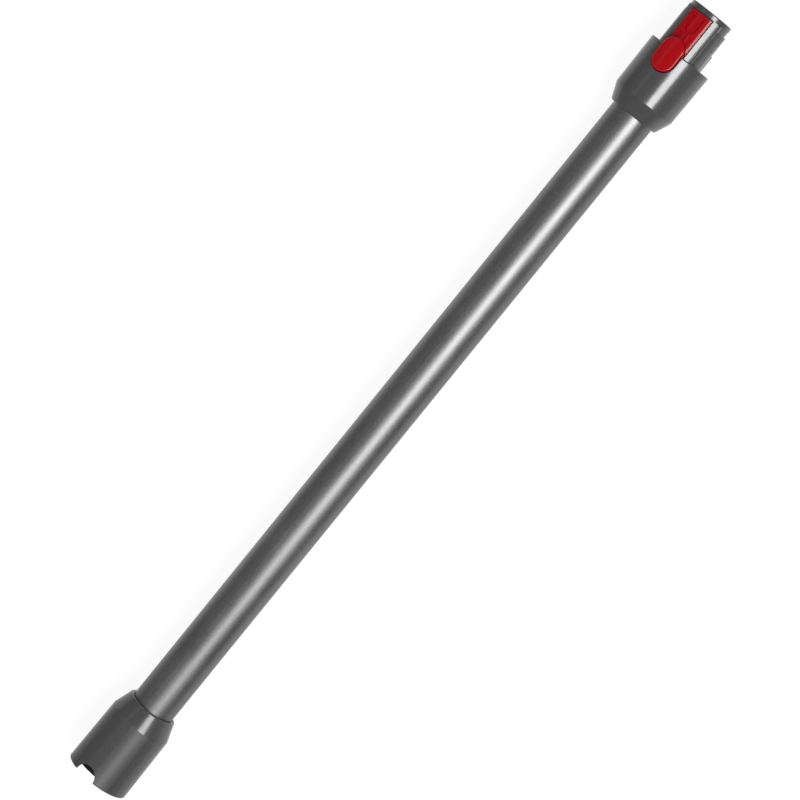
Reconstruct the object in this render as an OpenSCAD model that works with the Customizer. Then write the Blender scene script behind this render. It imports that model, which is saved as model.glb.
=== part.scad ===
// Extension wand of a stick vacuum: a rigid tube between two connector collars.
// It is drawn standing, with z from the lower rim to the tip, x towards the latch and y across,
// and laid_down() then puts it on its two collar rims, along x, with the latch on top.

/* [Lengths] */
// Lower collar, from its rim to the face that the tube enters
lower_collar_length = 68.8; // [66:0.1:74]
// Bare tube between the two collars
bare_tube_length = 569.8; // [250:0.1:900]
// Upper collar, from its small end to its rim
upper_collar_length = 55.2; // [54:0.1:60]
// Neck that stands out of the upper collar
neck_length = 38.4; // [38:0.1:40]

/* [Tube] */
// Outside radius of the tube
tube_radius = 17.5; // [17.3:0.1:17.6]
// Wall of the tube and of the web inside it
tube_wall = 1.0; // [0.8:0.1:1.2]
// Length of tube held in each collar
tube_insert = 22.8; // [22:0.1:23]
// Distance from the tube's axis to the near face of the web
web_distance = 10.9; // [10.5:0.1:11.2]

/* [Collars] */
// Radius of both collars at the rim
rim_radius = 26.0; // [25.9:0.1:26.4]
// Radius of the lower collar at its shoulder
lower_shoulder_radius = 25.25; // [25:0.05:25.5]
// Length of the lower collar's cone
lower_cone_length = 15.2; // [14.5:0.1:16]
// Radius of the upper collar at its shoulder
upper_shoulder_radius = 25.55; // [25.3:0.05:25.7]
// Length of the upper collar's cone
upper_cone_length = 12.9; // [12.4:0.1:13.4]
// Radius of both collars where the tube enters
small_end_radius = 20.2; // [19.9:0.1:20.6]
// Half width of the arched notch in the lower rim
notch_half_width = 8.75; // [8:0.05:9]
// Half width of the cut-out for the thumb pad
cutout_half_width = 9.8; // [9.6:0.1:10]

/* [Neck] */
// Offset of the neck's axis from the tube's axis
neck_offset = 4.2; // [4.1:0.05:4.25]
// Radius of the neck's barrel
neck_radius = 18.65; // [18.6:0.05:18.7]
// Radius of the ring at the tip
tip_radius = 17.5; // [17.4:0.05:17.6]
// Length of the ring at the tip
tip_length = 8.3; // [8:0.1:8.6]
// Radius of the airway in the neck
airway_radius = 16.0; // [15.8:0.1:16.1]
// Radius of the crown beside the latch, about the tube's axis
crown_radius = 22.65; // [22.5:0.05:22.7]
// Half width of the crown
crown_half_width = 15.2; // [14.8:0.1:15.4]
// Half width of the latch's channel
channel_half_width = 9.6; // [9.5:0.05:9.7]
// Half width of the connector shroud
shroud_half_width = 13.4; // [13.2:0.1:13.5]
// Height of the shroud above the upper rim
shroud_height = 14.0; // [13:0.1:15]

/* [Latch] */
// Half width of the latch's plate
plate_half_width = 9.0; // [8.8:0.05:9.1]
// Radius of the latch's plate, about the tube's axis
plate_radius = 22.9; // [22.7:0.05:22.9]
// Half width of the thumb pad
pad_half_width = 9.1; // [9:0.05:9.2]
// Length of the thumb pad
pad_length = 27.8; // [26:0.1:28]
// Radius of the thumb pad's face, about the tube's axis
pad_radius = 27.6; // [27:0.1:27.8]
// Depth of the scoop in the plate
scoop_depth = 1.8; // [1.5:0.1:2]
// Diameter of the latch's hinge pin
pin_diameter = 2.5; // [2.4:0.1:2.6]

/* [Hidden] */
$fn = 72;

lower_top = lower_collar_length;
upper_foot = lower_top + bare_tube_length;
upper_rim = upper_foot + upper_collar_length;
tip = upper_rim + neck_length;
tube_start = lower_top - tube_insert;
tube_end = upper_foot + tube_insert;

left = -1;
right = 1;
slit = 0.02;
over = 1;
big = 80;
far = 1000;

collar_wall = 1.7;
hole_radius = tube_radius + 0.25;
hole_land = 3.6;
collar_step = 2;
cone_wall_shift = 2;
rim_round = 0.9;
shoulder_round = 2;
small_end_round = 1.2;
edge_round = 0.4;

sleeve_bore = tube_radius + 0.1;
sleeve_radius = 19.4;
sleeve_land = 19.7;
sleeve_gap = 0.2;
sleeve_lip = 0.8;
gasket_height = 1.4;
screw_inset = 10.4;
screw_radius = 1.3;
screw_start = 16.7;
screw_head_radius = 2.4;
screw_head_height = 1.3;
screw_seat = 19.0;
screw_seat_radius = 2.6;

notch_centre = 0.3;
notch_flare = 1.2;
cutout_depth = 19.0;

bore_radius = neck_radius + 0.2;
bore_land_end = 19.4;
bore_taper = 0.1;
seat_bore = tip_radius + 0.15;
seat_relief = 0.35;
seal_groove = 0.5;
receptacle_recess = 5.1;
receptacle_radius = 24.05;
receptacle_taper = 0.3;
receptacle_wall = 1.3;
receptacle_barrel = bore_radius + receptacle_wall;
flange_thickness = 2;
lead_in = 1;
barrel_depth = neck_length - tip_length;
stop_depth = neck_length + 2.4;
blend_start_radius = 19.2;
relief_radius = 23.1;
relief_half_width = crown_half_width + 0.3;
relief_depth = 5.0;
relief_wall = 1.2;
tooth_half_width = 4;
tooth_root = relief_radius + 0.2;
tooth_reach = neck_offset + seat_bore + 0.1;
tooth_start = bore_land_end + 0.1;
tooth_crest = 1.4;
tooth_end = barrel_depth + 1.5;
pocket_gap = 0.4;
pocket_floor = 2.8;
pocket_wall = 1.5;

shroud_back = 20.0;
shroud_wall = 1.4;
shroud_corner = 2.4;
deck_drop = 1.5;
deck_thickness = 2;
deck_radius = 24.1;
deck_top = upper_rim - deck_drop;
deck_bottom = deck_top - deck_thickness;
shoulder = tip - tip_length;

floor_top = 15.6;
floor_thickness = 1.2;
floor_bottom = floor_top - floor_thickness;
side_wall = 1.2;
cheek_height = 3;
channel_end = tip - 4.4;
tip_wall = 1.2;
tip_relief = 0.25;
tip_round = 0.8;
crown_end = channel_end + 0.6;
crown_foot = 8;
crown_round = 3;
tip_lead = 0.8;
barrel_round = 0.8;
transition_top = tube_end + gasket_height;
transition_knee = transition_top + 5.2;
thin = 0.02;
blend_lap = 0.4;
groove_angle = 80;
groove_width = 0.8;
groove_depth = 0.3;

pivot_x = 19.0;
pivot_z = deck_top - 21.3;
ear_radius = 2.4;
ear_base = 2.2;
barrel_radius = 2.6;
barrel_half_length = 9.3;
pin_half_length = 11.5;
pin_play = 0.05;

latch_under = 19.2;
latch_end = channel_end - 0.6;
plate_round = 6;
plate_shoulder = 11.3;
pad_top = upper_rim + 9.5;
pad_bottom = pad_top - pad_length;
pad_edge = 0.9;
pad_skirt = 20.6;
pad_shell = 1.8;
rail_inner = 6.2;
rail_outer = 7.8;
rail_top = 21.6;
rail_crest = 23.6;
rail_ramp = 2;
bridge_under = 19.6;
bridge_end = pad_bottom + 3;
plate_start = upper_rim - 0.6;
overhang_start = upper_rim + receptacle_recess - 0.4;
overhang_under = 24.4;
scoop_radius = 4.7;
scoop_centre = latch_end - 12.3;
scoop_top = latch_end - 1.5;
recess_end = scoop_centre - scoop_radius - 0.9;
recess_half_width = 5.6;
recess_depth = 0.9;
rib_spacing = 2;
rib_width = 1.2;

spring_z = deck_bottom - 0.3;
spring_radius = 2.7;
spring_wire = 0.3;
spring_turns = 5;
spring_steps = 16;
spring_sides = 6;
spring_end = 25.2;
closed_share = 0.18;
closed_pitch = 0.35;
cup_bore = 3.5;
cup_radius = 4.6;
cup_rim = 20.4;

blade_y = 6.5;
blade_x = -16.7;
blade_width = 2.0;
blade_thickness = 0.8;
blade_top = deck_top + 12.2;
blade_tail = deck_top - 11.5;
blade_point = 0.8;
block_half_width = 11.6;
block_back = 18.2;
block_thickness = 2.3;
block_stem_half_width = 9.4;
block_stem_back = 18.0;
block_stem_front = 15.8;
block_stem_length = 7;
block_play = 0.2;
small_screw_radius = 0.8;
small_head_radius = 1.4;
small_head_height = 1.1;
plug_screw_x = -14.6;
plug_screw_y = 10.3;

tongue_half_width = 10.6;
tongue_back = 18.3;
tongue_front = 13.3;
tongue_top = 2.8;
tongue_gap = 0.25;
tongue_play = 0.2;
socket_floor = shroud_height + 0.6;
socket_flange_half_width = 13.2;
socket_flange_thickness = 2.2;
socket_screw_x = -15.6;
socket_screw_y = 12;
socket_screw_start = socket_floor + 0.3;
slot_width = 2.2;
slot_length = 2.4;
contact_sheet = 0.35;
contact_gap = 1.2;
contact_pinch = 0.7;
contact_depth = 10;
contact_mouth = 0.8;
contact_waist = 2.4;
contact_base = 9.8;
contact_knee = 2;
contact_tail = 4;

// A vector of the same direction with a length of one
function unit(v) = v / norm(v);

// The points of an arc about a centre
function arc(centre, radius, from, to, steps = 5) = [
    for (i = [0:steps])
        let (angle = from + (to - from) * i / steps)
        centre + radius * [cos(angle), sin(angle)]
];

// The points that round corner b, between a and c
function corner(a, b, c, radius) =
    let (
        u = unit(a - b),
        v = unit(c - b),
        half = acos(u * v) / 2,
        centre = b + unit(u + v) * radius / sin(half),
        first = b + u * radius / tan(half) - centre,
        last = b + v * radius / tan(half) - centre,
        from = atan2(first.y, first.x),
        turn = atan2(first.x * last.y - first.y * last.x, first * last)
    )
    arc(centre, radius, from, from + turn);

// The same points in the other order
function reversed(points) = [for (i = [len(points) - 1:-1:0]) points[i]];

// The points mirrored to the other side of the axis
function flipped(points) = [for (point = points) [-point.x, point.y]];

// An outline from corners of the form [x, y, radius]
function rounded(corners) = [
    for (i = [0:len(corners) - 1])
        let (
            count = len(corners),
            a = corners[(i + count - 1) % count],
            b = corners[i],
            c = corners[(i + 1) % count]
        )
        each b[2] == 0
            ? [[b.x, b.y]]
            : corner([a.x, a.y], [b.x, b.y], [c.x, c.y], b[2])
];

module laid_down() {
    translate([-tip / 2, 0, rim_radius])
        rotate([0, 90, 0])
            rotate([0, 0, 180])
                children();
}

// Extrudes an outline from one height to another
module prism(from, to) {
    translate([0, 0, from])
        linear_extrude(to - from)
            children();
}

// Extrudes an outline drawn in (y, z) along x
module prism_x(from, to) {
    translate([from, 0, 0])
        rotate([90, 0, 90])
            linear_extrude(to - from)
                children();
}

// Extrudes an outline drawn in (x, z) along y, to the same distance each way
module prism_y(half_width) {
    rotate([90, 0, 0])
        linear_extrude(2 * half_width, center = true)
            children();
}

// A strip across the section, from one x to another
module strip(from, to, half_width = big) {
    translate([from, -half_width])
        square([to - from, 2 * half_width]);
}

// A circle about the neck's axis
module neck_circle(radius) {
    translate([neck_offset, 0])
        circle(radius);
}

// A circle cut flat at two distances from the tube's axis
module flat_circle(radius, centre, from, to) {
    intersection() {
        translate([centre, 0])
            circle(radius);
        strip(from, to);
    }
}

// The top of a circle about the tube's axis, with rounded shoulders
module crown_section(radius, half_width, shoulder_radius) {
    offset(r = shoulder_radius)
        offset(delta = -shoulder_radius)
            intersection() {
                circle(radius);
                strip(crown_foot, big, half_width);
            }
}

// A thin slice for the ends of a blend
module slice(height) {
    prism(height - thin / 2, height + thin / 2)
        children();
}

// Wall and web of the tube
module tube_section() {
    difference() {
        circle(tube_radius);
        circle(tube_radius - tube_wall);
    }
    intersection() {
        circle(tube_radius - tube_wall / 2);
        strip(-web_distance - tube_wall, -web_distance);
    }
}

// Holes for the two screws that hold a tube's end
module tube_screw_holes(height, radius) {
    translate([0, 0, height])
        rotate([90, 0, 0])
            cylinder(h = big, r = radius, center = true);
}

// Flat seats under the heads of those screws
module tube_screw_seats(height) {
    for (side = [left, right])
        translate([0, side * screw_seat, height])
            rotate([-side * 90, 0, 0])
                cylinder(h = over, r = screw_seat_radius);
}

// A screw through a sleeve into the tube's wall
module tube_screw(height, side) {
    length = screw_seat - screw_start;
    translate([0, side * screw_start, height])
        rotate([-side * 90, 0, 0]) {
            cylinder(h = length + slit, r = screw_radius);
            translate([0, 0, length])
                cylinder(h = screw_head_height, r = screw_head_radius);
        }
}

// A sealing ring with the tube's own section
module tube_gasket(from) {
    prism(from + slit, from + gasket_height - slit)
        tube_section();
}

module tube() {
    color("dimgray") laid_down()
        difference() {
            prism(tube_start, tube_end)
                tube_section();
            tube_screw_holes(tube_start + screw_inset, screw_radius + slit);
            tube_screw_holes(tube_end - screw_inset, screw_radius + slit);
        }
}

module lower_tube_gasket() {
    color("black") laid_down()
        tube_gasket(tube_start - gasket_height);
}

module lower_tube_screw(side) {
    color("silver") laid_down()
        tube_screw(tube_start + screw_inset, side);
}

module upper_tube_gasket() {
    color("black") laid_down()
        tube_gasket(tube_end);
}

module upper_tube_screw(side) {
    color("silver") laid_down()
        tube_screw(tube_end - screw_inset, side);
}

// The lower collar's section, from the inner edge of the rim round the outside
module lower_collar_section() {
    shoulder_z = lower_top - lower_cone_length;
    inside_z = shoulder_z - cone_wall_shift;
    land_z = lower_top - hole_land;
    polygon(rounded([
        [rim_radius - collar_wall, 0, edge_round],
        [rim_radius, 0, rim_round],
        [lower_shoulder_radius, shoulder_z, shoulder_round],
        [small_end_radius, lower_top, small_end_round],
        [hole_radius, lower_top, edge_round],
        [hole_radius, land_z, 0],
        [sleeve_land, land_z, 0],
        [sleeve_land, land_z - collar_step, 0],
        [lower_shoulder_radius - collar_wall, inside_z, 0]
    ]));
}

// The arch in the lower rim, with its two bottom corners flared
module notch_outline() {
    reach = notch_half_width + notch_flare;
    flare_x = sqrt(pow(reach, 2) - pow(notch_flare - notch_centre, 2));
    meet = asin((notch_flare - notch_centre) / reach);
    polygon(concat(
        [[flare_x, -over]],
        arc([flare_x, notch_flare], notch_flare, 270, 180 + meet),
        arc([0, notch_centre], notch_half_width, meet, 180 - meet, 24),
        arc([-flare_x, notch_flare], notch_flare, -meet, -90),
        [[-flare_x, -over]]
    ));
}

module lower_collar() {
    color("gray") laid_down()
        difference() {
            rotate_extrude()
                lower_collar_section();
            prism_x(rim_radius / 2, rim_radius + over)
                notch_outline();
        }
}

// Outer walls of the receptacle around its bore
module receptacle_body() {
    prism(receptacle_recess, receptacle_recess + flange_thickness)
        circle(receptacle_radius);
    prism(receptacle_recess, stop_depth)
        intersection() {
            neck_circle(receptacle_barrel);
            circle(receptacle_radius - receptacle_taper);
        }
    prism(receptacle_recess, barrel_depth + relief_depth + relief_wall)
        intersection() {
            circle(receptacle_radius - receptacle_taper);
            strip(0, big, relief_half_width + relief_wall);
        }
    hull() {
        slice(stop_depth - receptacle_wall)
            neck_circle(blend_start_radius, $fn = 40);
        slice(tube_start - gasket_height)
            flat_circle(sleeve_radius - sleeve_gap, 0, -web_distance - side_wall, big, $fn = 40);
    }
    prism(tube_start - gasket_height - sleeve_lip, lower_top - hole_land - sleeve_gap)
        difference() {
            circle(sleeve_radius);
            circle(sleeve_bore);
        }
}

// Pocket that takes the shroud of the mating neck
module receptacle_pocket() {
    outside = shroud_half_width + pocket_gap + pocket_wall;
    inside = shroud_half_width + pocket_gap;
    difference() {
        prism(receptacle_recess, socket_floor + pocket_floor)
            intersection() {
                circle(receptacle_radius - receptacle_taper);
                strip(-shroud_back - pocket_gap - pocket_wall, 0, outside);
            }
        prism(0, socket_floor)
            strip(-shroud_back - pocket_gap, over, inside);
        prism(0, big)
            strip(-tongue_back - tongue_play, 2 * tongue_play - tongue_front,
                tongue_half_width + tongue_play);
        for (side = [left, right])
            translate([socket_screw_x, side * socket_screw_y, 0])
                cylinder(h = big, r = small_screw_radius + slit);
    }
}

// Bore, seat, seal groove and blended airway through the receptacle
module receptacle_bore() {
    translate([neck_offset, 0, receptacle_recess - slit])
        cylinder(h = lead_in, r1 = bore_radius + lead_in, r2 = bore_radius);
    prism(0, bore_land_end)
        neck_circle(bore_radius);
    translate([neck_offset, 0, bore_land_end - slit])
        cylinder(h = barrel_depth - bore_land_end + slit, r1 = bore_radius, r2 = bore_radius - bore_taper);
    prism(0, barrel_depth + relief_depth)
        neck_circle(seat_bore + seat_relief);
    prism(0, stop_depth)
        neck_circle(seat_bore);
    prism(neck_length, stop_depth)
        neck_circle(seat_bore + seal_groove);
    prism(0, barrel_depth + relief_depth)
        intersection() {
            circle(relief_radius);
            strip(crown_foot, big, relief_half_width);
        }
    hull() {
        slice(stop_depth - thin)
            neck_circle(airway_radius, $fn = 40);
        slice(tube_start - gasket_height)
            flat_circle(tube_radius - tube_wall, 0, -web_distance, big, $fn = 40);
    }
    prism(tube_start - gasket_height, big)
        circle(sleeve_bore);
}

// Ramped tooth that drops into the scoop of the mating latch
module catch_tooth() {
    prism_y(tooth_half_width)
        polygon([
            [tooth_root, tooth_start],
            [tooth_reach, tooth_end - tooth_crest],
            [tooth_reach, tooth_end],
            [tooth_root, tooth_end]
        ]);
}

module receptacle() {
    color("dimgray") laid_down()
        union() {
            difference() {
                union() {
                    difference() {
                        receptacle_body();
                        prism(0, socket_floor)
                            difference() {
                                strip(-shroud_back - pocket_gap, 0, shroud_half_width + pocket_gap);
                                neck_circle(receptacle_barrel);
                            }
                    }
                    receptacle_pocket();
                }
                receptacle_bore();
                tube_screw_holes(tube_start + screw_inset, screw_radius + slit);
                tube_screw_seats(tube_start + screw_inset);
            }
            catch_tooth();
        }
}

module receptacle_seal() {
    color("black") laid_down()
        prism(neck_length + slit, stop_depth - slit)
            difference() {
                neck_circle(seat_bore + seal_groove - slit);
                neck_circle(airway_radius);
            }
}

// Holes of a mirrored pair of small screws along z
module small_screw_holes(x, y) {
    for (side = [left, right])
        translate([x, side * y, 0])
            cylinder(h = 2 * tip, r = small_screw_radius + slit, center = true);
}

module small_screw(x, y, from, head_from) {
    translate([x, y, from])
        cylinder(h = head_from - from + slit, r = small_screw_radius);
    translate([x, y, head_from])
        cylinder(h = small_head_height, r = small_head_radius);
}

// The tongue's section, hollowed to follow the receptacle's bore wall
module tongue_section(half_width, back) {
    difference() {
        strip(-back, -tongue_front, half_width);
        neck_circle(receptacle_barrel + tongue_gap);
    }
}

module socket_block() {
    flange_from = socket_floor + pocket_floor;
    color("black") laid_down()
        difference() {
            union() {
                prism(tongue_top, flange_from + over)
                    tongue_section(tongue_half_width, tongue_back);
                prism(flange_from + slit, flange_from + socket_flange_thickness)
                    tongue_section(socket_flange_half_width, tongue_back);
            }
            for (side = [left, right])
                translate([blade_x, side * blade_y, tongue_top + contact_depth / 2])
                    cube([slot_length, slot_width, contact_depth + over], center = true);
            for (side = [left, right])
                translate([blade_x, side * blade_y, flange_from])
                    cube([slot_length, contact_sheet + 2 * slit, 2 * contact_depth], center = true);
            small_screw_holes(socket_screw_x, socket_screw_y);
        }
}

// A folded sheet contact: two sprung leaves, pinched near the mouth, and a tail
module socket_contact(side) {
    outer = contact_gap / 2 + contact_sheet;
    mouth = tongue_top + contact_mouth;
    waist = tongue_top + contact_waist;
    base = tongue_top + contact_base;
    outside = [
        [outer, mouth],
        [contact_pinch / 2 + contact_sheet, waist],
        [outer, base - contact_knee],
        [outer, base]
    ];
    inside = [
        [contact_gap / 2, base - contact_sheet],
        [contact_gap / 2, base - contact_knee],
        [contact_pinch / 2, waist],
        [contact_gap / 2, mouth]
    ];
    tail_end = socket_floor + pocket_floor + socket_flange_thickness + contact_tail;
    color("goldenrod") laid_down()
        translate([blade_x - blade_width / 2, side * blade_y, 0])
            prism_x(0, blade_width)
                union() {
                    polygon(concat(outside, reversed(flipped(outside)), reversed(flipped(inside)), inside));
                    translate([-contact_sheet / 2, base - contact_sheet])
                        square([contact_sheet, tail_end - base]);
                }
}

module socket_screw(side) {
    flange_to = socket_floor + pocket_floor + socket_flange_thickness;
    color("silver") laid_down()
        small_screw(socket_screw_x, side * socket_screw_y, socket_screw_start, flange_to);
}

// The upper collar's section, from the inner edge of its small end round the outside
module upper_collar_section() {
    shoulder_z = upper_foot + upper_cone_length;
    land_z = upper_foot + hole_land;
    polygon(rounded([
        [hole_radius, upper_foot, edge_round],
        [small_end_radius, upper_foot, small_end_round],
        [upper_shoulder_radius, shoulder_z, shoulder_round],
        [rim_radius, upper_rim, rim_round],
        [rim_radius - collar_wall, upper_rim, edge_round],
        [upper_shoulder_radius - collar_wall, shoulder_z + cone_wall_shift, 0],
        [sleeve_land, land_z + collar_step, 0],
        [sleeve_land, land_z, 0],
        [hole_radius, land_z, 0]
    ]));
}

// The pad's cut-out: round at the bottom and open at the rim
module cutout_outline() {
    centre = upper_rim - cutout_depth + cutout_half_width;
    translate([0, centre])
        circle(cutout_half_width);
    translate([-cutout_half_width, centre])
        square([2 * cutout_half_width, cutout_depth]);
}

module upper_collar() {
    color("gray") laid_down()
        difference() {
            rotate_extrude()
                upper_collar_section();
            prism_x(rim_radius / 2, rim_radius + over)
                cutout_outline();
        }
}

// Barrel and tip ring of the neck, without their hollows
module neck_outside() {
    translate([neck_offset, 0, 0])
        rotate_extrude()
            polygon(rounded([
                [0, deck_bottom, 0],
                [neck_radius, deck_bottom, 0],
                [neck_radius, shoulder, barrel_round],
                [tip_radius - tip_relief, shoulder, 0],
                [tip_radius - tip_relief, crown_end - tip_relief, 0],
                [tip_radius, crown_end, 0],
                [tip_radius, tip, tip_round],
                [0, tip, 0]
            ]));
}

// Outline of the connector shroud behind the barrel
module shroud_outline(half_width, back, corner_radius) {
    polygon(rounded([
        [0, -half_width, 0],
        [0, half_width, 0],
        [-back, half_width, corner_radius],
        [-back, -half_width, corner_radius]
    ]));
}

// Section of the neck's airway beside and under the latch's channel
module airway_section() {
    difference() {
        neck_circle(airway_radius);
        strip(floor_bottom, big, channel_half_width + side_wall);
    }
}

// Blend from the tube's socket to the neck, grown by a wall
module neck_blend(foot_radius, wall) {
    tube_side = -web_distance - wall;
    latch_side = floor_bottom + wall;
    hull() {
        slice(transition_top - blend_lap)
            flat_circle(foot_radius, 0, tube_side, big, $fn = 40);
        slice(transition_knee)
            flat_circle(tube_radius - tube_wall + wall, 0, tube_side, latch_side, $fn = 40);
    }
    hull() {
        slice(transition_knee)
            flat_circle(tube_radius - tube_wall + wall, 0, tube_side, latch_side, $fn = 40);
        slice(deck_bottom + blend_lap)
            flat_circle(airway_radius + wall, neck_offset, -big, latch_side, $fn = 40);
    }
}

// Cheeks of the latch's channel below the deck, with an ear round each end of the pin
module channel_cheeks() {
    inner = channel_half_width;
    for (side = [left, right])
        translate([0, side * (inner + side_wall / 2), 0])
            prism_y(side_wall / 2) {
                translate([pivot_x, pivot_z])
                    circle(ear_radius);
                translate([floor_bottom, pivot_z - ear_base])
                    square([pivot_x - floor_bottom, 2 * ear_base]);
                translate([floor_bottom, transition_knee - over])
                    square([cheek_height, deck_top - transition_knee]);
            }
    prism(transition_knee - over, deck_top)
        strip(floor_bottom, floor_top, inner + side_wall);
}

module seam_grooves() {
    for (side = [left, right])
        translate([neck_offset, 0, deck_top])
            rotate([0, 0, side * groove_angle])
                translate([neck_radius - groove_depth, -groove_width / 2, 0])
                    cube([over, groove_width, shoulder - deck_top - over]);
}

module neck() {
    inner_back = shroud_back - shroud_wall;
    inner_half_width = shroud_half_width - shroud_wall;
    color("gray") laid_down()
        difference() {
            union() {
                prism(upper_foot + hole_land + sleeve_gap, transition_top)
                    circle(sleeve_radius);
                prism(transition_top - over, transition_top + sleeve_lip)
                    flat_circle(sleeve_radius, 0, -web_distance - floor_thickness - sleeve_gap, big);
                neck_blend(sleeve_radius - sleeve_gap, floor_thickness);
                channel_cheeks();
                prism(deck_bottom, deck_top)
                    circle(deck_radius);
                neck_outside();
                prism(deck_bottom, crown_end)
                    crown_section(crown_radius, crown_half_width, crown_round);
                difference() {
                    prism(deck_bottom, upper_rim + shroud_height)
                        shroud_outline(shroud_half_width, shroud_back, shroud_corner);
                    prism(deck_top, far)
                        shroud_outline(inner_half_width, inner_back, shroud_corner - shroud_wall);
                }
            }
            prism(0, transition_top)
                circle(sleeve_bore);
            neck_blend(tube_radius - tube_wall, 0);
            prism(deck_bottom - thin, channel_end + tip_wall)
                airway_section();
            prism(channel_end + tip_wall - slit, tip + over)
                neck_circle(airway_radius);
            translate([neck_offset, 0, tip - tip_lead])
                cylinder(h = tip_lead + slit, r1 = airway_radius, r2 = airway_radius + tip_lead);
            prism(transition_knee, channel_end)
                strip(floor_top, big, channel_half_width);
            translate([pivot_x, 0, pivot_z])
                rotate([90, 0, 0])
                    cylinder(h = big, r = pin_diameter / 2 + slit, center = true);
            prism(deck_bottom - over, deck_top + slit)
                translate([block_play, 0])
                    strip(-block_stem_back - 2 * block_play, -block_stem_front,
                        block_stem_half_width + block_play);
            prism(deck_bottom - over, deck_top + slit)
                for (side = [left, right])
                    translate([plug_screw_x, side * plug_screw_y])
                        circle(small_screw_radius + slit);
            tube_screw_holes(tube_end - screw_inset, screw_radius + slit);
            tube_screw_seats(tube_end - screw_inset);
            seam_grooves();
        }
}

// The thumb pad's outline in (y, z)
module pad_outline(inset) {
    radius = pad_half_width - inset;
    hull()
        for (z = [pad_bottom + pad_half_width, pad_top - pad_half_width])
            translate([0, z])
                circle(radius);
}

// The thumb pad: a domed cap with a rounded edge, hollow from below.
// Its upper end overhangs the plate and leaves room for the wall of the mating receptacle.
module pad() {
    difference() {
        hull()
            for (angle = [0:30:90])
                intersection() {
                    prism_x(pad_skirt, big)
                        pad_outline(pad_edge * (1 - cos(angle)), $fn = 40);
                    cylinder(h = far, r = pad_radius - pad_edge * (1 - sin(angle)));
                }
        intersection() {
            prism_x(0, big)
                intersection() {
                    pad_outline(pad_shell, $fn = 40);
                    translate([-big, 0])
                        square([2 * big, overhang_start - pad_shell]);
                }
            cylinder(h = far, r = pad_radius - pad_shell);
        }
        prism(overhang_start, far)
            strip(0, overhang_under);
    }
}

// Side rails that carry the pad from the barrel to the plate
module latch_rails() {
    for (side = [left, right])
        translate([0, side * (rail_inner + rail_outer) / 2, 0])
            prism_y((rail_outer - rail_inner) / 2)
                polygon([
                    [latch_under, pivot_z],
                    [rail_top, pivot_z],
                    [rail_top, pad_bottom + rail_ramp],
                    [rail_crest, pad_bottom + 2 * rail_ramp],
                    [rail_crest, plate_start - rail_ramp],
                    [rail_top, plate_start + over],
                    [latch_under, plate_start + over]
                ]);
    prism(pivot_z, bridge_end)
        strip(bridge_under, rail_top, rail_outer);
}

// The cup that holds the head of the spring
module spring_cup() {
    translate([cup_rim, 0, spring_z])
        rotate([0, 90, 0])
            difference() {
                cylinder(h = pad_radius - pad_shell - cup_rim, r = cup_radius);
                translate([0, 0, -over])
                    cylinder(h = spring_end - cup_rim + over, r = cup_bore);
            }
}

// The scoop in the plate: round at the bottom and square at the top
module scoop() {
    difference() {
        prism_x(latch_under, big) {
            translate([0, scoop_centre])
                circle(scoop_radius);
            translate([-scoop_radius, scoop_centre])
                square([2 * scoop_radius, scoop_top - scoop_centre]);
        }
        cylinder(h = far, r = plate_radius - scoop_depth);
    }
}

// A shallow recess between the pad and the scoop, crossed by two ribs
module recess() {
    difference() {
        prism(overhang_start, recess_end)
            strip(latch_under, big, recess_half_width);
        for (side = [left, right])
            translate([0, side * rib_spacing, 0])
                prism(pad_top, far)
                    strip(0, big, rib_width / 2);
        cylinder(h = far, r = plate_radius - recess_depth);
    }
}

module latch() {
    color("crimson") laid_down()
        difference() {
            union() {
                difference() {
                    prism(plate_start, latch_end)
                        intersection() {
                            crown_section(plate_radius, plate_shoulder, plate_round);
                            strip(latch_under, big, plate_half_width);
                        }
                    scoop();
                    recess();
                }
                pad();
                latch_rails();
                spring_cup();
                translate([pivot_x, 0, pivot_z])
                    rotate([90, 0, 0])
                        cylinder(h = 2 * barrel_half_length, r = barrel_radius, center = true);
            }
            translate([pivot_x, 0, pivot_z])
                rotate([90, 0, 0])
                    cylinder(h = big, r = pin_diameter / 2 + pin_play, center = true);
        }
}

module latch_pin() {
    color("silver") laid_down()
        translate([pivot_x, 0, pivot_z])
            rotate([90, 0, 0])
                cylinder(h = 2 * pin_half_length, r = pin_diameter / 2, center = true);
}

// A compression spring with its two end turns closed
module latch_spring() {
    count = spring_turns * spring_steps;
    from = floor_top + spring_wire + slit;
    reach = spring_end - spring_wire - slit - from;
    closed_rise = closed_share * closed_pitch;
    slope = (1 - 2 * closed_rise) / (1 - 2 * closed_share);
    rings = [
        for (i = [0:count])
            let (
                angle = 360 * i / spring_steps,
                part = i / count,
                rise = part < closed_share ? closed_pitch * part
                    : part > 1 - closed_share ? 1 - closed_pitch * (1 - part)
                    : closed_rise + (part - closed_share) * slope
            )
            [for (k = [0:spring_sides - 1])
                let (
                    around = 360 * k / spring_sides,
                    radius = spring_radius + spring_wire * cos(around)
                )
                [
                    from + reach * rise + spring_wire * sin(around),
                    radius * cos(angle),
                    spring_z + radius * sin(angle)
                ]]
    ];
    sides = [
        for (i = [0:count - 1], k = [0:spring_sides - 1])
            let (
                next = (k + 1) % spring_sides,
                a = i * spring_sides
            )
            [a + k, a + spring_sides + k, a + spring_sides + next, a + next]
    ];
    start = [for (k = [0:spring_sides - 1]) k];
    end = [for (k = [spring_sides - 1:-1:0]) count * spring_sides + k];
    color("silver") laid_down()
        polyhedron([for (ring = rings) each ring], concat(sides, [start, end]), convexity = 8);
}

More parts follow.
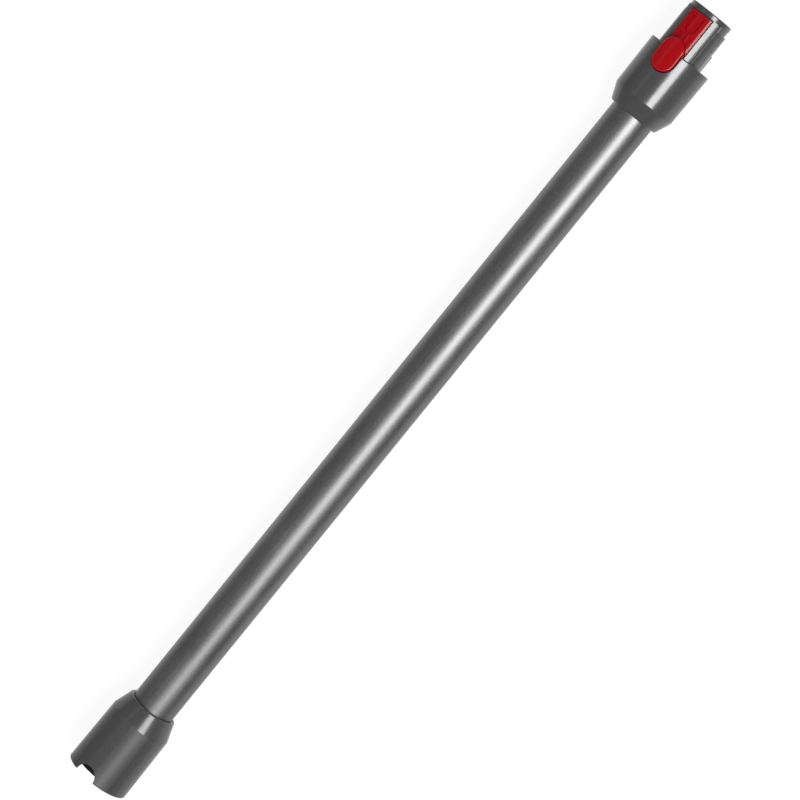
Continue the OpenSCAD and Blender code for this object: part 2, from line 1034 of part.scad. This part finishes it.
module plug_block() {
    color("black") laid_down()
        difference() {
            union() {
                prism(deck_top + slit, deck_top + block_thickness)
                    difference() {
                        strip(-block_back, 0, block_half_width);
                        neck_circle(neck_radius + slit);
                    }
                prism(deck_bottom - block_stem_length, deck_top + over)
                    strip(-block_stem_back, -block_stem_front, block_stem_half_width);
            }
            for (side = [left, right])
                translate([blade_x, side * blade_y, deck_top])
                    cube([blade_width + 2 * slit, blade_thickness + 2 * slit, big], center = true);
            small_screw_holes(plug_screw_x, plug_screw_y);
        }
}

module plug_blade(side) {
    half = blade_width / 2;
    color("goldenrod") laid_down()
        translate([blade_x, side * blade_y, 0])
            prism_y(blade_thickness / 2)
                polygon([
                    [-half, blade_tail],
                    [half, blade_tail],
                    [half, blade_top - blade_point],
                    [half - blade_point / 2, blade_top],
                    [-half + blade_point / 2, blade_top],
                    [-half, blade_top - blade_point]
                ]);
}

module plug_screw(side) {
    color("silver") laid_down()
        small_screw(plug_screw_x, side * plug_screw_y, deck_bottom, deck_top + block_thickness);
}

tube();
lower_collar();
receptacle();
receptacle_seal();
socket_block();
socket_contact(left);  // socket_contact_left
socket_contact(right);  // socket_contact_right
socket_screw(left);  // socket_screw_left
socket_screw(right);  // socket_screw_right
lower_tube_gasket();
lower_tube_screw(left);  // lower_tube_screw_left
lower_tube_screw(right);  // lower_tube_screw_right
upper_collar();
neck();
upper_tube_gasket();
upper_tube_screw(left);  // upper_tube_screw_left
upper_tube_screw(right);  // upper_tube_screw_right
latch();
latch_pin();
latch_spring();
plug_block();
plug_blade(left);  // plug_blade_left
plug_blade(right);  // plug_blade_right
plug_screw(left);  // plug_screw_left
plug_screw(right);  // plug_screw_right
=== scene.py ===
import math

import bmesh
import bpy
from mathutils import Matrix, Vector

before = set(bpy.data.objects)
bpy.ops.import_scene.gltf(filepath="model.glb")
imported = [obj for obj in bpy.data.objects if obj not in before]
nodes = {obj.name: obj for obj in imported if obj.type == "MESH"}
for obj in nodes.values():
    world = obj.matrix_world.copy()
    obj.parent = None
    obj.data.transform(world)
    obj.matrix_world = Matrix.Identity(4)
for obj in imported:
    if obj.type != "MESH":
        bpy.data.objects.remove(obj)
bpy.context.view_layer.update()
print("frame loaded:", len(nodes), "solids")


# a long lens looks almost straight down, with the wand from corner to corner
camera = {
    "place": (0.3246, -0.7768, 2.3517),
    "aim": (0.0018, 0.0012, 0.0264),
    "lens": 150.1,
    "upShare": 0.77671,       # share of the wand's length that points up in the picture
    "rightShare": 0.62986,    # and to the right
    "sensor": 36,
    "farEnd": 20,
}


def addCamera(values):
    place = Vector(values["place"])
    forward = (Vector(values["aim"]) - place).normalized()
    along = Vector((1, 0, 0))
    along = (along - forward * along.dot(forward)).normalized()
    across = forward.cross(along)
    up = along * values["upShare"] - across * values["rightShare"]
    right = along * values["rightShare"] + across * values["upShare"]
    data = bpy.data.cameras.new("photoCamera")
    data.lens = values["lens"]
    data.sensor_width = values["sensor"]
    data.clip_end = values["farEnd"]
    holder = bpy.data.objects.new("photoCamera", data)
    turn = Matrix((right, up, -forward)).transposed().to_4x4()
    holder.matrix_world = Matrix.Translation(place) @ turn
    bpy.context.scene.collection.objects.link(holder)
    bpy.context.scene.camera = holder


addCamera(camera)
print("camera set")


# nodes that light, paper and finishes share
def mathStep(tree, operation, first, second):
    step = tree.nodes.new("ShaderNodeMath")
    step.operation = operation
    for socket, value in zip(step.inputs, (first, second)):
        if isinstance(value, (int, float)):
            socket.default_value = value
        else:
            tree.links.new(value, socket)
    return step.outputs[0]


def rangeStep(tree, value, fromRange, toRange, kind="LINEAR"):
    level = tree.nodes.new("ShaderNodeMapRange")
    level.interpolation_type = kind
    numbers = (*fromRange, *toRange)
    for name, number in zip(("From Min", "From Max", "To Min", "To Max"), numbers):
        level.inputs[name].default_value = number
    tree.links.new(value, level.inputs["Value"])
    return level.outputs[0]


def mixStep(tree, share, first, second):
    mix = tree.nodes.new("ShaderNodeMix")
    mix.data_type = "RGBA"
    tree.links.new(share, mix.inputs["Factor"])
    ends = [socket for socket in mix.inputs if socket.type == "RGBA"]
    for socket, value in zip(ends, (first, second)):
        if isinstance(value, tuple):
            socket.default_value = (*value, 1)
        else:
            tree.links.new(value, socket)
    return [socket for socket in mix.outputs if socket.type == "RGBA"][0]


# one long softbox lights the wand from the right of the picture. The boards and the strip
# are dim, and fill in past the lower end, behind the softbox and on the left
lights = {
    "softbox": {
        "tilt": 40.3,         # degrees from straight up, towards the right of the picture
        "start": -0.35,       # where it starts and ends along the wand
        "end": 0.72,
        "width": 1.03,
        "power": 49,
        "fade": 0,            # metres from its middle line to half its strength, 0 for even
    },
    "endBoard": {
        "tilt": 40.3,
        "start": -1.3,
        "end": -0.35,
        "width": 3.6,
        "power": 25,
        "fade": 0.75,
    },
    "backBoard": {
        "tilt": 40,
        "start": -0.35,
        "end": 0.72,
        "width": 3.6,
        "power": 6.5,
        "fade": 0.8,
    },
    "leftBoard": {
        "tilt": -10,
        "start": -1.35,
        "end": -0.5,
        "width": 2.4,
        "power": 1.2,
        "fade": 0,
    },
    "leftStrip": {
        "tilt": -26,
        "start": -0.7,
        "end": 0.9,
        "width": 0.4,
        "power": 0.7,
        "fade": 0,
    },
}
lightDistance = 2.45          # of all lights, from the tube's axis
axisHeight = 0.026
room = {
    "strength": (0.45, 0.3),  # on the left of the picture and on the right
    "across": (0.5, -0.5),    # directions, as their Y, between which one turns into the other
}


def addLight(name, values):
    tilt = math.radians(values["tilt"])
    along = Vector((1, 0, 0))
    outward = Vector((0, -math.sin(tilt), math.cos(tilt)))
    data = bpy.data.lights.new(name, "AREA")
    data.shape = "RECTANGLE"
    data.size = values["end"] - values["start"]
    data.size_y = values["width"]
    data.energy = values["power"]
    if values["fade"]:
        data.use_nodes = True
        tree = data.node_tree
        glow = tree.nodes["Emission"]
        where = tree.nodes.new("ShaderNodeNewGeometry")
        split = tree.nodes.new("ShaderNodeSeparateXYZ")
        tree.links.new(where.outputs["Parametric"], split.inputs[0])
        across = mathStep(tree, "SUBTRACT", split.outputs["Y"], 0.5)
        across = mathStep(tree, "MULTIPLY", across, values["width"] / values["fade"])
        fall = mathStep(tree, "ADD", mathStep(tree, "POWER", across, 2), 1)
        tree.links.new(mathStep(tree, "DIVIDE", 1, fall), glow.inputs["Strength"])
    lamp = bpy.data.objects.new(name, data)
    middle = (values["start"] + values["end"]) / 2
    place = Vector((middle, 0, axisHeight)) + outward * lightDistance
    turn = Matrix((along, outward.cross(along), outward)).transposed().to_4x4()
    lamp.matrix_world = Matrix.Translation(place) @ turn
    bpy.context.scene.collection.objects.link(lamp)


def addRoom(values):
    world = bpy.data.worlds.new("paleRoom")
    world.use_nodes = True
    bpy.context.scene.world = world
    tree = world.node_tree
    tree.nodes.clear()
    where = tree.nodes.new("ShaderNodeTexCoord")
    split = tree.nodes.new("ShaderNodeSeparateXYZ")
    glow = tree.nodes.new("ShaderNodeBackground")
    out = tree.nodes.new("ShaderNodeOutputWorld")
    tree.links.new(where.outputs["Generated"], split.inputs[0])
    level = rangeStep(tree, split.outputs["Y"], values["across"], values["strength"])
    tree.links.new(level, glow.inputs["Strength"])
    tree.links.new(glow.outputs[0], out.inputs[0])


for name in lights:
    addLight(name, lights[name])
addRoom(room)
print("light set")


# a round sweep of white paper: floor, cove and low wall. It keeps the wand's shadow, and
# stays white to the camera. In reflections its glow carries painted shade: dimmer to the
# right of the wand, past its lower end and far off, standing in for light falling off across
# a table
paper = {
    "floorRadius": 6.2,
    "coveRadius": 0.8,
    "wallTop": 1.4,
    "steps": 96,
    "coveSteps": 10,
    "join": 0.0001,
    "colour": (0.7, 0.7, 0.7),               # for the light it throws back on the wand
    "colourSeen": (0.14, 0.14, 0.14),        # for the eye and for reflections
    "roughness": 0.8,
    "lift": 0.9,                             # its own glow, on top of colourSeen
    # painted shade in the glow that reflections see, by place
    "sidePaintedShade": ("Y", -0.05, -0.17, 0.12),   # direction, from, to, share left
    "endPaintedShade": ("X", -0.2, -0.42, 0.6),
    "farPaintedShade": ("far", 1.5, 5.0, 0.8),
}


def paperMesh(values):
    mesh = bmesh.new()
    wallRadius = values["floorRadius"] + values["coveRadius"]
    outline = [(0, 0)]
    for step in range(values["coveSteps"] + 1):
        turn = math.pi / 2 * step / values["coveSteps"]
        out = values["floorRadius"] + values["coveRadius"] * math.sin(turn)
        outline.append((out, values["coveRadius"] * (1 - math.cos(turn))))
    outline.append((wallRadius, values["wallTop"]))
    corners = [mesh.verts.new((out, 0, up)) for out, up in outline]
    edges = [mesh.edges.new(pair) for pair in zip(corners, corners[1:])]
    bmesh.ops.spin(
        mesh, geom=corners + edges, axis=(0, 0, 1), cent=(0, 0, 0),
        angle=2 * math.pi, steps=values["steps"],
    )
    bmesh.ops.remove_doubles(mesh, verts=mesh.verts, dist=values["join"])
    bmesh.ops.recalc_face_normals(mesh, faces=mesh.faces)
    if sum(face.normal.z for face in mesh.faces) < 0:
        bmesh.ops.reverse_faces(mesh, faces=mesh.faces)
    for face in mesh.faces:
        face.smooth = True
    return mesh


def addPaper(values):
    mesh = paperMesh(values)
    data = bpy.data.meshes.new("paperSweep")
    mesh.to_mesh(data)
    mesh.free()
    sheet = bpy.data.objects.new("paperSweep", data)
    bpy.context.scene.collection.objects.link(sheet)
    material = bpy.data.materials.new("whitePaper")
    material.use_nodes = True
    tree = material.node_tree
    shader = tree.nodes["Principled BSDF"]
    shader.inputs["Roughness"].default_value = values["roughness"]
    shader.inputs["Emission Color"].default_value = (1, 1, 1, 1)
    path = tree.nodes.new("ShaderNodeLightPath").outputs
    where = tree.nodes.new("ShaderNodeTexCoord")
    split = tree.nodes.new("ShaderNodeSeparateXYZ")
    tree.links.new(where.outputs["Object"], split.inputs[0])
    far = tree.nodes.new("ShaderNodeVectorMath")
    far.operation = "LENGTH"
    tree.links.new(where.outputs["Object"], far.inputs[0])
    sources = {"X": split.outputs["X"], "Y": split.outputs["Y"], "far": far.outputs["Value"]}
    mirrored = mathStep(tree, "MAXIMUM", path["Is Glossy Ray"], path["Is Transmission Ray"])
    seen = mathStep(tree, "MAXIMUM", path["Is Camera Ray"], mirrored)
    # painted shade: the glow seen in reflections dims to the right, past the lower end and
    # far off
    for name in ("sidePaintedShade", "endPaintedShade", "farPaintedShade"):
        source, start, end, left = values[name]
        level = rangeStep(tree, sources[source], (start, end), (1, left), "SMOOTHSTEP")
        mirrored = mathStep(tree, "MULTIPLY", mirrored, level)
    glow = mathStep(tree, "MAXIMUM", path["Is Camera Ray"], mirrored)
    glow = mathStep(tree, "MULTIPLY", glow, values["lift"])
    tree.links.new(glow, shader.inputs["Emission Strength"])
    tone = mixStep(tree, seen, values["colour"], values["colourSeen"])
    tree.links.new(tone, shader.inputs["Base Color"])
    data.materials.append(material)


addPaper(paper)
print("paper laid")


# every finish is built the same way: cloudy patches, a fine grain, tiny flecks, and edges
# that handling has rubbed a little paler and duller. Sizes are in metres
pattern = {
    "noiseRange": (0.3, 0.7),     # the part of a noise that counts
    "noiseRoughness": 0.6,
    "cloudDetail": 3,
    "grainDetail": 2,
    "grainShare": 0.6,            # of the mottle
    "cloudShare": 0.4,
    "fleckRange": (0.62, 0.78),   # only the noise's peaks are flecks
    "edgeRange": (0.98, 0.84),    # how well the rounded normal agrees with the true one
    "rubbedRange": (0.35, 1),     # the grain breaks up a rubbed edge
    "cloudRoughness": 0.08,       # share by which clouds change the roughness
    "wornRoughness": 0.25,        # what full wear adds to it
    "wearSamples": 4,
    "roundSamples": 8,
}


def makeFinish(name, look):
    material = bpy.data.materials.new(name)
    material.use_nodes = True
    tree = material.node_tree
    shader = tree.nodes["Principled BSDF"]
    where = tree.nodes.new("ShaderNodeTexCoord")
    lie = tree.nodes.new("ShaderNodeMapping")
    lie.inputs["Scale"].default_value = look.get("stretch", (1, 1, 1))
    tree.links.new(where.outputs["Object"], lie.inputs["Vector"])

    def noise(size, detail, start):
        grains = tree.nodes.new("ShaderNodeTexNoise")
        grains.inputs["Scale"].default_value = 1 / size
        grains.inputs["Detail"].default_value = detail
        grains.inputs["Roughness"].default_value = pattern["noiseRoughness"]
        tree.links.new(start, grains.inputs["Vector"])
        return grains.outputs["Fac"]

    def spread(value, low, high, fromRange=pattern["noiseRange"]):
        return rangeStep(tree, value, fromRange, (low, high))

    def add(first, second):
        return mathStep(tree, "ADD", first, second)

    def times(first, second):
        return mathStep(tree, "MULTIPLY", first, second)

    clouds = noise(look["cloudSize"], pattern["cloudDetail"], where.outputs["Object"])
    grain = noise(look["grainSize"], pattern["grainDetail"], lie.outputs["Vector"])
    flecks = noise(look["fleckSize"], 0, lie.outputs["Vector"])

    # edges: where a rounded-off normal leaves the true one
    rounded = tree.nodes.new("ShaderNodeBevel")
    rounded.samples = pattern["wearSamples"]
    rounded.inputs["Radius"].default_value = look["wearWidth"]
    true = tree.nodes.new("ShaderNodeNewGeometry")
    leave = tree.nodes.new("ShaderNodeVectorMath")
    leave.operation = "DOT_PRODUCT"
    tree.links.new(rounded.outputs[0], leave.inputs[0])
    tree.links.new(true.outputs["Normal"], leave.inputs[1])
    edge = spread(leave.outputs["Value"], 0, 1, pattern["edgeRange"])
    worn = times(times(edge, spread(grain, *pattern["rubbedRange"])), look["wear"])

    # colour
    low = tuple(c * (1 - look["mottle"]) for c in look["colour"])
    high = tuple(c * (1 + look["mottle"]) for c in look["colour"])
    grainPart = times(spread(grain, 0, 1), pattern["grainShare"])
    cloudPart = times(spread(clouds, 0, 1), pattern["cloudShare"])
    tone = mixStep(tree, add(grainPart, cloudPart), low, high)
    speckled = times(spread(flecks, 0, 1, pattern["fleckRange"]), look["fleck"])
    tone = mixStep(tree, speckled, tone, look["fleckColour"])
    tone = mixStep(tree, worn, tone, look["wearColour"])
    tree.links.new(tone, shader.inputs["Base Color"])

    # roughness
    swing = look["roughness"] * pattern["cloudRoughness"]
    rough = spread(clouds, look["roughness"] - swing, look["roughness"] + swing)
    rough = add(rough, times(mathStep(tree, "SUBTRACT", grain, 0.5), look["roughGrain"]))
    rough = add(rough, times(worn, pattern["wornRoughness"]))
    tree.links.new(rough, shader.inputs["Roughness"])

    # relief
    height = add(times(grain, look["grainHeight"]), times(flecks, look["fleckHeight"]))
    relief = tree.nodes.new("ShaderNodeBump")
    relief.inputs["Distance"].default_value = 1.0
    tree.links.new(height, relief.inputs["Height"])
    soft = tree.nodes.new("ShaderNodeBevel")
    soft.samples = pattern["roundSamples"]
    soft.inputs["Radius"].default_value = look["edgeRound"]
    tree.links.new(soft.outputs[0], relief.inputs["Normal"])
    tree.links.new(relief.outputs[0], shader.inputs["Normal"])

    shader.inputs["Metallic"].default_value = look.get("metallic", 0)
    shader.inputs["Specular IOR Level"].default_value = look.get("specular", 0.5)
    return material


def dress(material, names):
    for name in names:
        for slot in nodes[name].material_slots:
            slot.material = material
    print(material.name, "on", len(names), "solids")


# satin anodised tube, bead blasted before it was dyed grey
anodisedTube = {
    "colour": (0.172, 0.172, 0.172),
    "metallic": 1.0,
    "roughness": 0.42,
    "mottle": 0.2,
    "cloudSize": 0.05,
    "grainSize": 0.0013,
    "fleckSize": 0.0004,
    "stretch": (0.7, 1, 1),
    "fleck": 0.3,
    "fleckColour": (0.3, 0.3, 0.3),
    "roughGrain": 0.12,
    "grainHeight": 0.000025,
    "fleckHeight": 0.000004,
    "wearWidth": 0.0006,
    "wear": 0.4,
    "wearColour": (0.35, 0.35, 0.35),
    "edgeRound": 0.0002,
}

# semi-gloss grey collars
paintedCollar = {
    "colour": (0.05, 0.05, 0.0505),
    "specular": 0.66,
    "roughness": 0.2,
    "mottle": 0.13,
    "cloudSize": 0.03,
    "grainSize": 0.0016,
    "fleckSize": 0.0005,
    "fleck": 0.12,
    "fleckColour": (0.05, 0.05, 0.052),
    "roughGrain": 0.05,
    "grainHeight": 0.000006,
    "fleckHeight": 0.000001,
    "wearWidth": 0.0006,
    "wear": 0.35,
    "wearColour": (0.09, 0.09, 0.09),
    "edgeRound": 0.0003,
}

# the neck is the same plastic, left as it comes from the mould
mouldedNeck = dict(
    paintedCollar,
    colour=(0.045, 0.047, 0.046),
    roughness=0.22,
    grainHeight=0.00001,
    wear=0.3,
    wearColour=(0.1, 0.1, 0.1),
)

# red latch, whose edges only turn duller
redLatch = {
    "colour": (0.345, 0.0002, 0.004),
    "specular": 0.2,
    "roughness": 0.14,
    "mottle": 0.05,
    "cloudSize": 0.012,
    "grainSize": 0.0009,
    "fleckSize": 0.0003,
    "fleck": 0.1,
    "fleckColour": (0.4, 0.001, 0.006),
    "roughGrain": 0.06,
    "grainHeight": 0.000006,
    "fleckHeight": 0.000001,
    "wearWidth": 0.0005,
    "wear": 0.9,
    "wearColour": (0.36, 0.001, 0.006),
    "edgeRound": 0.00005,
}

# black plastic inside the connectors, its colour made darker still as painted shade for the
# shaded recess behind the collar's notch
blackInnerAndShade = {
    "colour": (0.005, 0.005, 0.0052),
    "specular": 0.2,
    "roughness": 0.45,
    "mottle": 0.12,
    "cloudSize": 0.01,
    "grainSize": 0.0007,
    "fleckSize": 0.0003,
    "fleck": 0.2,
    "fleckColour": (0.009, 0.009, 0.009),
    "roughGrain": 0.12,
    "grainHeight": 0.00002,
    "fleckHeight": 0.000004,
    "wearWidth": 0.0005,
    "wear": 0.3,
    "wearColour": (0.02, 0.02, 0.02),
    "edgeRound": 0.0002,
}

# soft rubber of the seals
sealRubber = dict(
    blackInnerAndShade,
    colour=(0.012, 0.012, 0.012),
    specular=0.3,
    roughness=0.7,
    grainSize=0.0004,
    grainHeight=0.00003,
    wear=0.15,
)

# bright steel of screws, pin and spring
brightSteel = {
    "colour": (0.5, 0.5, 0.49),
    "metallic": 1.0,
    "roughness": 0.28,
    "mottle": 0.08,
    "cloudSize": 0.004,
    "grainSize": 0.0003,
    "fleckSize": 0.0001,
    "fleck": 0.2,
    "fleckColour": (0.35, 0.34, 0.33),
    "roughGrain": 0.15,
    "grainHeight": 0.000006,
    "fleckHeight": 0.000001,
    "wearWidth": 0.0002,
    "wear": 0.3,
    "wearColour": (0.7, 0.7, 0.69),
    "edgeRound": 0.0001,
}

# contacts of brass sheet
brassContact = dict(
    brightSteel,
    colour=(0.66, 0.47, 0.2),
    fleckColour=(0.5, 0.32, 0.12),
    wearColour=(0.8, 0.62, 0.32),
)

dress(makeFinish("anodisedTube", anodisedTube), ["tube"])
dress(makeFinish("paintedCollar", paintedCollar), ["lower_collar", "upper_collar"])
dress(makeFinish("mouldedNeck", mouldedNeck), ["neck"])
dress(makeFinish("redLatch", redLatch), ["latch"])
dress(makeFinish("blackInnerAndShade", blackInnerAndShade), ["receptacle", "socket_block", "plug_block"])
dress(makeFinish("sealRubber", sealRubber), [
    "receptacle_seal", "lower_tube_gasket", "upper_tube_gasket",
])
dress(makeFinish("brightSteel", brightSteel), [
    "latch_pin", "latch_spring",
    "lower_tube_screw_left", "lower_tube_screw_right",
    "upper_tube_screw_left", "upper_tube_screw_right",
    "socket_screw_left", "socket_screw_right",
    "plug_screw_left", "plug_screw_right",
])
dress(makeFinish("brassContact", brassContact), [
    "socket_contact_left", "socket_contact_right", "plug_blade_left", "plug_blade_right",
])

bpy.context.scene.view_settings.view_transform = "Standard"
